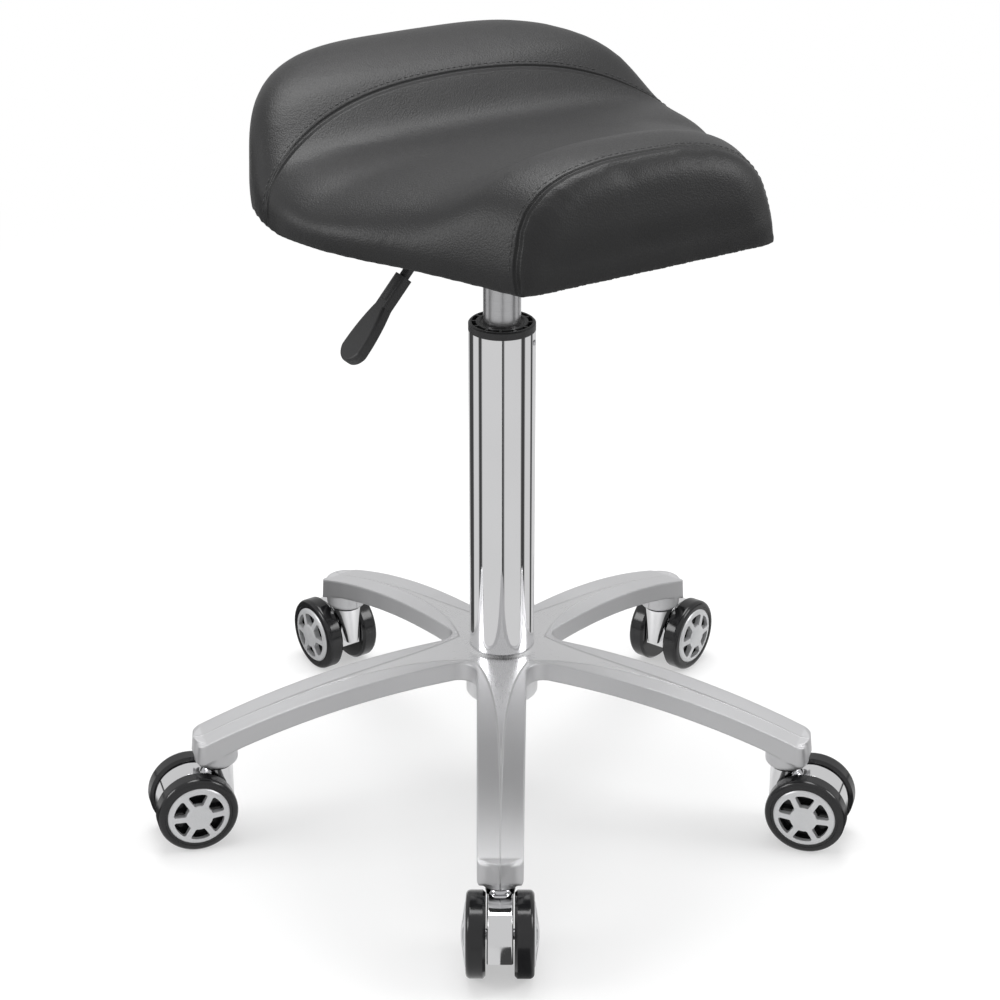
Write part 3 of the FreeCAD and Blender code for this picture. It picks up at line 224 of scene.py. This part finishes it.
# Painted highlight: the spout is painted lighter in the colour along the crest of each arm, over the
# random clouds.
satin.wear("Base Color", (clouds * 0.5 + spout_and_painted_highlight * 0.5).mix((0.62, 0.62, 0.63), (0.80, 0.80, 0.81)))
satin.wear("Roughness", clouds * 0.06 + scratches * 0.08 + spout_and_painted_highlight * -0.2 + 0.42)
rounded = satin.place.node("ShaderNodeBevel", "Normal", {"Radius": 2.6 * mm}, samples=6)
satin.wear("Normal", satin.place.node("ShaderNodeBump", inputs={
    "Height": spout_and_painted_highlight * 0.0018 + scratches * 0.000012, "Distance": 1.0, "Strength": 1.0, "Normal": rounded}))
dress(satin, "base_casting")

# %% [markdown]
# ## Bright chrome
# Chrome on a drawn tube is almost a mirror. It is kept from looking like a drawing by faint long waves
# and a little haze.

# %% Chrome
chrome = Finish("chrome", Metallic=1.0)
haze = chrome.place.noise(14.0, 2.0)
chrome.wear("Base Color", haze.mix((0.80, 0.80, 0.81), (0.87, 0.87, 0.88)))
chrome.wear("Roughness", haze * 0.03 + 0.035)
waves = chrome.place.stretch(1.0, 1.0, 0.25).noise(30.0, 1.0)
chrome.bump(waves, 0.00002)
dress(chrome, "column_tube", *named("_hood"))

# %% [markdown]
# ## Ground steel
# The inner cylinder is ground round its axis, so its marks run round it: noise squeezed along Z.

# %% Ground steel
ground = Finish("ground_steel", Metallic=1.0)
rings = ground.place.stretch(0.15, 0.15, 3.0).noise(700.0, 2.0)
ground.wear("Base Color", rings.mix((0.50, 0.50, 0.51), (0.62, 0.62, 0.63)))
ground.wear("Roughness", rings * 0.12 + 0.24)
ground.bump(rings, 0.00001)
dress(ground, "gas_cylinder")

# %% Small steel pieces and brass
steel = Finish("bright_steel", Metallic=1.0)
spots = steel.place.noise(250.0, 2.0)
steel.wear("Base Color", spots.mix((0.52, 0.52, 0.54), (0.66, 0.66, 0.67)))
steel.wear("Roughness", spots * 0.15 + 0.2)
dress(steel, "bush_pins", "bearing_lower_race", "bearing_balls", "bearing_upper_race", "piston_rod",
      "rod_washer", "rod_clip", "caster_stems", "stem_grip_rings", "lever_pin", "plate_bolts", "tee_nuts",
      "valve_button", "piston_head", *named("_axle"))
brass = Finish("brass_cage", Metallic=1.0)
tarnish = brass.place.noise(200.0, 2.0)
brass.wear("Base Color", tarnish.mix((0.55, 0.38, 0.14), (0.70, 0.52, 0.22)))
brass.wear("Roughness", tarnish * 0.2 + 0.25)
dress(brass, "bearing_cage")

# %% [markdown]
# ## Black plastics and rubber
# Three blacks stand side by side on the stool, and only their gloss tells them apart: the polished
# wheels, the satin collar and paddle, and the dull rubber.

# %% Polished wheels
gloss = Finish("gloss_black", IOR=1.5)
swirl = gloss.place.noise(60.0, 2.0)
gloss.wear("Base Color", swirl.mix((0.008, 0.008, 0.009), (0.014, 0.014, 0.015)))
gloss.wear("Roughness", swirl * 0.08 + 0.12)
gloss.bump(gloss.place.noise(300.0, 1.0), 0.000015)
dress(gloss, *named("_wheel_"))

# %% Satin plastic
moulded = Finish("moulded_black", IOR=1.48)
spark = moulded.place.cells(1600.0)
shade = moulded.place.noise(50.0, 2.0)
moulded.wear("Base Color", shade.mix((0.016, 0.016, 0.017), (0.028, 0.028, 0.029)))
moulded.wear("Roughness", spark * 0.15 + shade * 0.1 + 0.32)
moulded.bump(spark, 0.00004)
dress(moulded, "guide_bush", "lever_handle", "cylinder_gland")

# %% Rubber, and powder coat on the seat mechanism
rubber = Finish("black_rubber")
bloom = rubber.place.noise(120.0, 3.0)
rubber.wear("Base Color", bloom.mix((0.012, 0.012, 0.012), (0.03, 0.03, 0.03)))
rubber.wear("Roughness", bloom * 0.2 + 0.55)
dress(rubber, "rubber_buffer", "piston_seal", "stem_washers")
powder = Finish("powder_coat")
peel = powder.place.noise(700.0, 2.0)
powder.wear("Base Color", peel.mix((0.014, 0.014, 0.015), (0.024, 0.024, 0.025)))
powder.wear("Roughness", peel * 0.2 + 0.3)
powder.bump(peel, 0.00006)
dress(powder, "seat_mechanism", "lever_rod")

# %% Silver caps
silver = Finish("silver_plastic", Metallic=0.45)
flake = silver.place.cells(2500.0)
silver.wear("Base Color", flake.mix((0.56, 0.57, 0.58), (0.70, 0.70, 0.71)))
silver.wear("Roughness", flake * 0.12 + 0.3)
dress(silver, *named("_cap_"))

# %% [markdown]
# ## Wood and cloth under the seat
# Nobody looks there often, but a person who turns the stool over sees a plywood board behind a black
# spun cloth. Plywood shows thin layers at its edge, which are waves along Z.

# %% Plywood and dust cover
plywood = Finish("plywood")
layers = plywood.place.stretch(0.05, 0.05, 1.0).noise(600.0, 1.0)
grain = plywood.place.stretch(0.1, 1.0, 1.0).noise(260.0, 3.0)
plywood.wear("Base Color", (layers * 0.5 + grain * 0.5).mix((0.34, 0.21, 0.11), (0.62, 0.46, 0.29)))
plywood.wear("Roughness", grain * 0.2 + 0.55)
dress(plywood, "seat_board")
cloth = Finish("dust_cloth", Specular_IOR_Level=0.2)
fibres = cloth.place.stretch(1.0, 0.3, 1.0).noise(1500.0, 3.0)
cloth.wear("Base Color", fibres.mix((0.010, 0.010, 0.010), (0.030, 0.030, 0.030)))
cloth.wear("Roughness", fibres * 0.2 + 0.7)
cloth.bump(fibres, 0.0001)
dress(cloth, "dust_cover")

# %% [markdown]
# ## The form of the seat
# The real seat is a moulded foam pad on a board, under a cover sewn from four panels. Its plan is a
# round rear with two waisted flanks, and its back-to-front profile rises to a cantle behind, dips where
# one sits and rises again in front. The form is set out here once more, with the sharper cantle and
# dip that the cover pulls the foam into, from ring to ring along the seat. It stays outside the
# plywood board, which the frame gives.

# %% Plan and profile
seat_turn = math.radians(32.0)
board_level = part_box("seat_board")[0][2]
rear_radius = 178.5 * mm
rear_centre = -3 * mm
front_at = 187 * mm
front_half = 102 * mm
waist = 8 * mm
front_lean = 0.18
front_bulge = 5 * mm
profile_shares = (0.0, 0.06, 0.16, 0.28, 0.42, 0.58, 0.76, 0.9, 1.0)
profile_heights = (41, 77, 89, 78, 42, 47, 54, 76, 74)


def share_of(u):
    """How far along the seat a place lies, from 0 at the rear to 1 at the front."""
    rear = rear_centre - rear_radius
    return (u - rear) / (front_at - rear)


def half_width(u):
    """Half the width: a round rear, straight flanks that leave it smoothly, and a waist."""
    along = front_at - rear_centre
    turn = math.atan2(along, front_half) - math.acos(rear_radius / math.hypot(along, front_half))
    join = rear_centre + rear_radius * math.sin(turn)
    if u <= join:
        half = math.sqrt(max(rear_radius ** 2 - (u - rear_centre) ** 2, 0.0))
    else:
        edge = rear_radius * math.cos(turn)
        half = edge + (front_half - edge) * (u - join) / (front_at - join)
    drawn = min(max(share_of(u) - 0.5, 0.0) / 0.5, 1.0)
    return half - waist * math.sin(math.pi * drawn)


def climb(index):
    """Slope of the profile's straight line after one of its places."""
    rise = profile_heights[index + 1] - profile_heights[index]
    return rise / (profile_shares[index + 1] - profile_shares[index])


def slope_at(index):
    """Slope of the smooth profile at one of its places, level on a crest or in a dip."""
    if index in (0, len(profile_shares) - 1):
        return climb(min(index, len(profile_shares) - 2))
    before, after = climb(index - 1), climb(index)
    return 0.0 if before * after <= 0 else 2 * before * after / (before + after)


def crown_of(share):
    """Height of the middle of the seat above the board, smooth between the profile's places."""
    index = sum(share > place for place in profile_shares[1:-1])
    width = profile_shares[index + 1] - profile_shares[index]
    t = min((share - profile_shares[index]) / width, 1.0)
    start, end = profile_heights[index], profile_heights[index + 1]
    ease = t * t * (3 - 2 * t)
    bend = slope_at(index) * t * (1 - t) ** 2 - slope_at(index + 1) * t * t * (1 - t)
    return (start + (end - start) * ease + bend * width) * mm


def roundness_of(share):
    """How square a cross-section is: square behind, domed in the dip, between the two in front."""
    if share < 0.25:
        return 3.4 + share * 6.0
    if share < 0.55:
        return 4.9 - (share - 0.25) * 10.0
    return 1.9 + (share - 0.55) * 1.8


def to_room(s, u, z):
    """From the seat's own across and forward to the room."""
    cos, sin = math.cos(seat_turn), math.sin(seat_turn)
    return Vector((s * cos + u * sin, s * sin - u * cos, z))


def to_seat(point):
    """From the room to the seat's own across, forward and height above the board."""
    cos, sin = math.cos(seat_turn), math.sin(seat_turn)
    return point.x * cos + point.y * sin, point.x * sin - point.y * cos, point.z - board_level


def ring_at(u, half, crown, lift=0.0):
    """One closed ring round the seat."""
    share = min(share_of(u), 1.0)
    side = (13 - 4 * share) * mm
    lean = front_lean * max(share - 0.6, 0.0) / 0.4
    power = 2.0 / roundness_of(share)
    over = []
    for step in range(33):
        angle = math.pi * step / 32
        across = math.copysign(half * abs(math.cos(angle)) ** power, math.cos(angle))
        over.append((across, side + (crown - side) * max(math.sin(angle), 0.0) ** power))
    foot = half
    over += [(-foot, lift), (foot, lift)]
    return [to_room(s, u - lean * rise, board_level + rise) for s, rise in over]


print("half width at the column", round(half_width(0.0), 4))

# %% A closed skin from ring to ring
ring_count = 56
voxel = 4.5 * mm
rings = []
rear = rear_centre - rear_radius
for step in range(ring_count):
    part = (1 - math.cos(math.pi * (step + 0.6) / ring_count)) / 2
    u = rear + (front_at - rear) * part if step < ring_count - 1 else front_at
    rise = 10 * mm * max(1 - share_of(u) / 0.05, 0.0)
    rings.append(ring_at(u, half_width(u), crown_of(share_of(u)), rise))
rings.append(ring_at(front_at + front_bulge, front_half - front_bulge * 2,
                     crown_of(1.0) - front_bulge * 2.2, front_bulge * 0.5))
shell = bmesh.new()
loops = [[shell.verts.new(point) for point in ring] for ring in rings]
for near, far in zip(loops, loops[1:]):
    for index in range(len(near)):
        shell.faces.new((near[index - 1], near[index], far[index], far[index - 1]))
shell.faces.new(loops[0])
shell.faces.new(list(reversed(loops[-1])))
bmesh.ops.recalc_face_normals(shell, faces=shell.faces)
skin = bpy.data.meshes.new("padded_seat")
shell.to_mesh(skin)
shell.free()
cushion = bpy.data.objects.new("padded_seat", skin)
scene.collection.objects.link(cushion)
print("rings", len(rings), "skin faces", len(skin.polygons))


# %% Remesh it evenly
def apply_modifiers(piece):
    """Turn the piece's modifiers into its mesh."""
    bpy.context.view_layer.update()
    graph = bpy.context.evaluated_depsgraph_get()
    made = bpy.data.meshes.new_from_object(piece.evaluated_get(graph))
    piece.modifiers.clear()
    piece.data = made


remesh = cushion.modifiers.new("even", "REMESH")
remesh.mode = "VOXEL"
remesh.voxel_size = voxel
apply_modifiers(cushion)
print("even faces", len(cushion.data.polygons))

# %% [markdown]
# ## Stuffing
# A cloth simulation blows the skin up a little from inside, which leaves it tight and slightly full,
# as a stretched cover is. No point may go far from where it began, and the lower edge is held, because
# there the cover is stapled under the board.

# %% Stuff it
shrink = 0.997
cap_on_swelling = 2.5 * mm
held_below = 14 * mm
free_above = 34 * mm


def stuff(piece):
    """Blow the skin up a little, and keep every point within a short way of where it began."""
    middle = sum((v.co for v in piece.data.vertices), Vector()) / len(piece.data.vertices)
    start = [v.co.copy() for v in piece.data.vertices]
    for v in piece.data.vertices:
        v.co = middle + (v.co - middle) * shrink
    foam = piece.modifiers.new("foam", "CLOTH")
    foam.settings.use_pressure = True
    foam.settings.uniform_pressure_force = 4.0
    foam.settings.effector_weights.gravity = 0.0
    foam.point_cache.frame_start = 1
    foam.point_cache.frame_end = 16
    for number in range(1, 17):
        scene.frame_set(number)
    apply_modifiers(piece)
    scene.frame_set(1)
    for v, begin in zip(piece.data.vertices, start):
        moved = v.co - begin
        free = (begin.z - board_level - held_below) / (free_above - held_below)
        longest = cap_on_swelling * min(max(free, 0.0), 1.0)
        v.co = begin + moved * min(longest / max(moved.length, 0.01 * mm), 1.0)


stuff(cushion)
smooth = cushion.modifiers.new("smooth", "SMOOTH")
smooth.factor = 0.5
smooth.iterations = 8
finer = cushion.modifiers.new("finer", "SUBSURF")
finer.levels = 1
finer.render_levels = 1
apply_modifiers(cushion)
# Smoothing rounds the hem upwards, so it is drawn down again to hide the edge of the board
hem = 12 * mm
hem_drop = 5 * mm
for v in cushion.data.vertices:
    rise = v.co.z - board_level
    if rise < hem:
        v.co.z = board_level + max(rise - hem_drop * (1 - rise / hem), -0.5 * mm)
for face in cushion.data.polygons:
    face.use_smooth = True
print("padded faces", len(cushion.data.polygons))

# %% [markdown]
# ## Seams
# Two seams cross the seat: one between the cantle band and the saddle, one between the saddle and the
# front panel. Each is written as a rule that is zero on the seam and grows with the distance from it.
# The rule's value is kept on the mesh, so that the leatherette can sink into a groove there and be
# painted darker there as painted shade, and the stitches are laid where it has a small fixed value.

# %% The two seams as rules
band_half = 186 * mm
band_depth = 66 * mm


def rear_seam(point):
    """Metres from the seam in front of the cantle, which is half an ellipse seen from above."""
    s, u, z = to_seat(point)
    if u > -4 * mm:
        return -0.05
    away = math.hypot(s / band_half, u / band_depth)
    steep = math.hypot(s / band_half ** 2, u / band_depth ** 2) / away
    return (away - 1) / steep


def front_seam(point):
    """Metres in front of the seam round the front panel, a plane that leans back."""
    s, u, z = to_seat(point)
    return u + front_lean * z - (front_at - 3 * mm)


def keep_rule(name, rule):
    """Store a rule's value at every point of the seat."""
    layer = cushion.data.attributes.new(name, "FLOAT", "POINT")
    layer.data.foreach_set("value", [rule(v.co) for v in cushion.data.vertices])


keep_rule("rear_seam", rear_seam)
keep_rule("front_seam", front_seam)
print("seams kept")


# %% Points along a rule's line on the seat
def line_where(rule, value):
    """Chains of points where the rule has this value, walked from face to face."""
    mesh = bmesh.new()
    mesh.from_mesh(cushion.data)
    heights = [rule(v.co) - value for v in mesh.verts]
    mesh.verts.index_update()
    crossing = {}
    for edge in mesh.edges:
        first, second = (heights[v.index] for v in edge.verts)
        if first * second < 0 and abs(first - second) < 0.02:
            share = first / (first - second)
            crossing[edge] = edge.verts[0].co.lerp(edge.verts[1].co, share)
    chains = []
    waiting = set(crossing)
    while waiting:
        seed = waiting.pop()
        chain = [seed]
        for grow_front in (False, True):
            edge = seed
            while edge:
                near = [other for face in edge.link_faces for other in face.edges if other in waiting]
                edge = near[0] if near else None
                if edge:
                    waiting.discard(edge)
                    chain.insert(0, edge) if grow_front else chain.append(edge)
        chains.append([crossing[edge].copy() for edge in chain])
    mesh.free()
    return [chain for chain in chains if len(chain) > 20]


def even_points(chain, step):
    """Places at equal steps along a chain, with the underside left out."""
    made = []
    left = 0.0
    for start, end in zip(chain, chain[1:]):
        length = (end - start).length
        while left < length:
            made.append(start.lerp(end, left / length))
            left += step
        left -= length
    return [point for point in made if point.z > board_level + 8 * mm]


print("lines", [len(line_where(rule, 0.0)) for rule in (rear_seam, front_seam)])

# %% [markdown]
# ## Stitches
# The topstitching is a row of short thick threads beside each seam. Each thread is a small ball drawn
# out along the row and sunk to half its thickness. Stitches stay separate pieces because a drawn line
# would have no light on it.

# %% Lay the stitches
stitch_step = 5.2 * mm
stitch_length = 3.8 * mm
stitch_thick = 0.9 * mm


def lay_stitches(name, rule, value):
    """One object with all the stitches of a row."""
    tree = BVHTree.FromPolygons([v.co for v in cushion.data.vertices],
                                [tuple(face.vertices) for face in cushion.data.polygons])
    row = bmesh.new()
    count = 0
    for chain in line_where(rule, value):
        points = even_points(chain, stitch_step)
        for here, after in zip(points, points[1:]):
            along = after - here
            if along.length > stitch_step * 1.5:
                continue
            where, normal, face, distance = tree.find_nearest(here)
            along.normalize()
            side = normal.cross(along).normalized()
            turn = Matrix((along, side, normal)).transposed().to_4x4()
            size = Matrix.Diagonal((stitch_length / 2, stitch_thick / 2, stitch_thick / 2, 1.0))
            bmesh.ops.create_uvsphere(row, u_segments=8, v_segments=5, radius=1.0,
                                      matrix=Matrix.Translation(where) @ turn @ size)
            count += 1
    mesh = bpy.data.meshes.new(name)
    row.to_mesh(mesh)
    row.free()
    for face in mesh.polygons:
        face.use_smooth = True
    threads = bpy.data.objects.new(name, mesh)
    scene.collection.objects.link(threads)
    threads.data.materials.append(thread.material)
    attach(threads, "seat")
    print(name, count, "stitches")
    return threads


thread = Finish("sewing_thread", IOR=1.5)
ply = thread.place.noise(2500.0, 2.0)
thread.wear("Base Color", ply.mix((0.016, 0.016, 0.017), (0.040, 0.040, 0.041)))
thread.wear("Roughness", ply * 0.2 + 0.45)
lay_stitches("rear_stitches", rear_seam, 4.0 * mm)
lay_stitches("front_stitches", front_seam, -4.5 * mm)

# %% [markdown]
# ## Leatherette
# The cover is black vinyl with a fine pebble, a soft sheen and a few slow waves where the foam under
# it gives. Beside a seam the cover is pulled down into a rounded groove, and its colour is painted
# darker in the groove as painted shade.

# %% Leatherette
leather = Finish("black_leatherette", IOR=1.45)


def groove(name, width):
    """1 on the seam and 0 beyond the groove's side, from the rule kept on the mesh."""
    rule = leather.place.node("ShaderNodeAttribute", "Fac", attribute_name=name)
    return rule.work("ABSOLUTE", 0.0).step(0.0, width, 1.0, 0.0)


rear_line = groove("rear_seam", 2.4 * mm)
front_line = groove("front_seam", 2.4 * mm)
pebble = leather.place.cells(800.0)
fold = leather.place.noise(26.0, 3.0, 0.45)
fine = leather.place.noise(420.0, 2.0)
groove_and_painted_shade = rear_line + front_line
# Painted shade: the colour is darkened in the seam grooves, on top of the random tone of fold and fine.
shade = fold * 0.6 + fine * 0.4 - groove_and_painted_shade * 0.8
leather.wear("Base Color", shade.mix((0.006, 0.006, 0.0065), (0.014, 0.014, 0.0145)))
leather.wear("Roughness", pebble * 0.10 + fine * 0.08 + fold * 0.06 + 0.33)
leather.bump(pebble * 0.00012 + fold * 0.0003 + fine * 0.00005 - groove_and_painted_shade * 0.0022, 1.0)
cushion.data.materials.clear()
cushion.data.materials.append(leather.material)
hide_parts("seat_cushion")
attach(cushion, "seat")

# %% [markdown]
# ## Floor and light
# The photo has a white floor with only soft contact shadows. The floor is white card that also glows
# a little for the camera, so that its lit parts reach white and the shadows stay. A chromed tube shows
# its surroundings as upright bands, and seen from above it shows the floor. A studio lays dark cards
# round the object so that the bands have dark edges, and the same is done here: only mirrored rays
# see the cards, which are stripes on chosen compass bearings.

# %% Floor
floor_reach = 6.0
shadow_reach = 0.5
white_from = 1.6
card_start = 0.16
card_full = 0.30
card_edge = 6.0
card_places = ((-50.0, 13.0), (60.0, 3.0), (-101.0, 4.0), (104.0, 5.0), (178.0, 2.5))
sweep = bmesh.new()
bmesh.ops.create_grid(sweep, x_segments=1, y_segments=1, size=floor_reach)
card = bpy.data.meshes.new("floor")
sweep.to_mesh(card)
sweep.free()
floor = bpy.data.objects.new("floor", card)
scene.collection.objects.link(floor)
paper = bpy.data.materials.new("white_card")
paper.use_nodes = True
tree = paper.node_tree
tree.nodes.clear()
start = Wire(tree)
camera_ray = start.node("ShaderNodeLightPath", "Is Camera Ray")
glossy_ray = start.node("ShaderNodeLightPath", "Is Glossy Ray")
spot = start.node("ShaderNodeTexCoord", "Object")
east = spot.part("X")
north = spot.part("Y")
away = spot.node("ShaderNodeVectorMath", "Value", {0: spot}, operation="LENGTH")
matt = start.node("ShaderNodeBsdfDiffuse", inputs={"Color": (0.93, 0.93, 0.93, 1.0)})


def glow(level):
    """Light of one grey level."""
    return start.node("ShaderNodeEmission", inputs={"Color": (level, level, level, 1.0), "Strength": 1.0})


def blend(share, first, second):
    """One shader where share is 0 and the other where it is 1."""
    return start.node("ShaderNodeMixShader", inputs={0: share, 1: first, 2: second})


def dark_cards(east, north):
    """1 on the compass stripes where a dark card stands, 0 between them."""
    compass = east.work("ARCTAN2", north)
    stripes = compass * 0.0
    for middle, half in card_places:
        gap = (compass - math.radians(middle)).work("ABSOLUTE", 0.0)
        stripes = stripes + gap.step(math.radians(half), math.radians(half + card_edge), 1.0, 0.0)
    return stripes.work("MINIMUM", 1.0)


lit = blend(camera_ray * away.step(shadow_reach, white_from, 0.45, 1.0), matt, glow(1.0))
mirrored = blend(dark_cards(east, north) * away.step(card_start, card_full), glow(0.70), glow(0.06))
both = blend(glossy_ray * away.step(card_start - 0.06, card_full - 0.08), lit, mirrored)
end = tree.nodes.new("ShaderNodeOutputMaterial")
tree.links.new(both.socket, end.inputs["Surface"])
floor.data.materials.append(paper)


# %% Lamps
def lamp(name, place, aim, size, watts):
    """A square soft box at a place, turned towards a point."""
    data = bpy.data.lights.new(name, "AREA")
    data.shape = "SQUARE"
    data.size = size
    data.energy = watts
    box = bpy.data.objects.new(name, data)
    box.location = place
    box.rotation_euler = (Vector(aim) - Vector(place)).to_track_quat("-Z", "Y").to_euler()
    scene.collection.objects.link(box)


aim = (0.0, 0.0, 0.35)
lamp("top_box", (0.0, 0.4, 2.3), aim, 1.4, 34.0)
lamp("left_box", (-1.8, -0.6, 1.2), aim, 0.8, 12.0)
lamp("right_box", (1.8, -0.3, 1.3), aim, 0.8, 12.0)

# %% White world
world = bpy.data.worlds.new("white_room")
world.use_nodes = True
scene.world = world
back = world.node_tree.nodes["Background"]
sky = Wire(world.node_tree)
camera_ray = sky.node("ShaderNodeLightPath", "Is Camera Ray")
back.inputs["Color"].default_value = (1.0, 1.0, 1.0, 1.0)
strength = camera_ray * 0.34 + 0.66
world.node_tree.links.new(strength.socket, back.inputs["Strength"])
